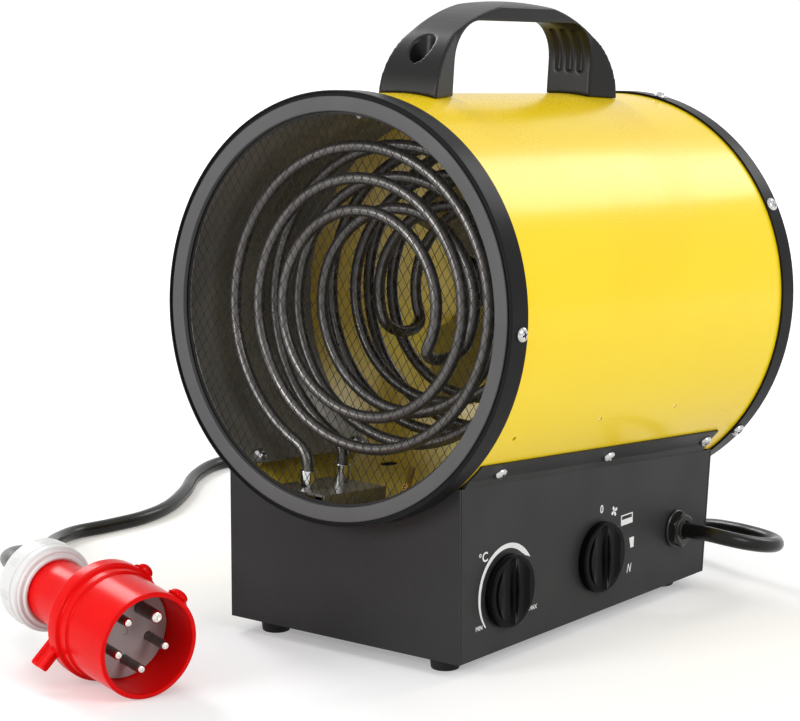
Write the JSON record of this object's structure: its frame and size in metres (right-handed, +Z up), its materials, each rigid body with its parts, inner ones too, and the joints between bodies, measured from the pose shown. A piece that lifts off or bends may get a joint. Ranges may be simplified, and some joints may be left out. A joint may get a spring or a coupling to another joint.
{
  "type": "portable electric fan heater",
  "caption": "Round steel drum fan heater on a sheet metal base, with mesh outlet, coiled elements, axial fan, top handle, control dials and a cord with a round industrial plug.",
  "frame": {"origin": "on the floor plane under the middle of the drum, which is the centre of the heater's footprint box", "axes": "+Z up, the hot air outlet faces -Y, the dials and the cable gland are on the +X side; the drum axis is tipped up by 5.5 degrees at the outlet"},
  "size_m": [0.4634, 0.5187, 0.3418],
  "materials": {
    "yellow_drum": "glossy yellow enamel",
    "grey_ring": "satin grey enamel",
    "charcoal_base": "satin charcoal enamel",
    "dark_mesh": "dark painted steel",
    "bright_sheet": "plain aluminised sheet",
    "zinc_steel": "zinc plated",
    "chrome_screw": "bright plated",
    "element_sheath": "heat tinted stainless tube",
    "brass_parts": "plain brass",
    "fan_aluminium": "mill finish",
    "motor_steel": "black enamel",
    "copper_bulb": "copper tube",
    "black_plastic": "fine satin moulding",
    "gland_plastic": "satin moulding",
    "cream_plastic": "plain moulding",
    "cutout_ceramic": "phenolic moulding",
    "black_rubber": "matt rubber",
    "cord_rubber": "matt rubber sheath",
    "lead_rubber": "insulated wire",
    "red_plastic": "satin gloss moulding",
    "grey_plastic": "light grey moulding",
    "insert_plastic": "mid grey moulding"
  },
  "bodies": {
    "heater": {"drum_shell": "yellow_drum", "inner_liner": "bright_sheet", "liner_screws": "chrome_screw", "front_ring": "grey_ring", "front_ring_screws": "chrome_screw", "outlet_grille": "dark_mesh", "rear_ring": "grey_ring", "rear_ring_screws": "chrome_screw", "inlet_guard": "dark_mesh", "handle": "black_plastic", "handle_screws": "chrome_screw", "handle_nuts": "zinc_steel", "base_tray": "charcoal_base", "control_panel": "charcoal_base", "side_panel": "charcoal_base", "flange_screws": "chrome_screw", "panel_screws": "chrome_screw", "rubber_feet": "black_rubber", "foot_screws": "zinc_steel", "heating_element_1": "element_sheath", "heating_element_2": "element_sheath", "element_sleeves": "brass_parts", "element_nuts": "brass_parts", "terminal_plate": "zinc_steel", "earth_stud": "brass_parts", "fan_motor": "motor_steel", "motor_bracket": "zinc_steel", "motor_screws": "chrome_screw", "thermostat_body": "cream_plastic", "sensor_bulb": "copper_bulb", "mode_switch": "cream_plastic", "dial_screws": "zinc_steel", "overheat_cutout": "cutout_ceramic", "terminal_block": "cream_plastic", "block_screws": "brass_parts", "internal_leads": "lead_rubber", "cable_gland": "gland_plastic", "gland_nut": "gland_plastic", "gland_locknut": "gland_plastic", "supply_cord": "cord_rubber", "plug_gland_nut": "grey_plastic", "plug_body": "red_plastic", "plug_shroud": "red_plastic", "plug_insert": "insert_plastic", "phase_pins": "brass_parts", "earth_pin": "brass_parts"},
    "fan": {"fan_rotor": "fan_aluminium", "fan_nut": "zinc_steel", "motor_shaft": "zinc_steel"},
    "thermostat_dial": {"thermostat_shaft": "zinc_steel", "thermostat_knob": "black_plastic"},
    "mode_dial": {"mode_shaft": "zinc_steel", "mode_knob": "black_plastic"}
  },
  "joints": [
    {"name": "fan_spin", "type": "hinge", "parent": "heater", "child": "fan", "pos_m": [0, 0, 0.177], "axis": [0, 0.9954, -0.0958], "continuous": true},
    {"name": "thermostat_turn", "type": "hinge", "parent": "heater", "child": "thermostat_dial", "pos_m": [0.0785, -0.09, 0.04], "axis": [1, 0, 0], "range_deg": [-130, 130]},
    {"name": "mode_turn", "type": "hinge", "parent": "heater", "child": "mode_dial", "pos_m": [0.0785, -0.003, 0.04], "axis": [1, 0, 0], "range_deg": [-120, 0]}
  ]
}
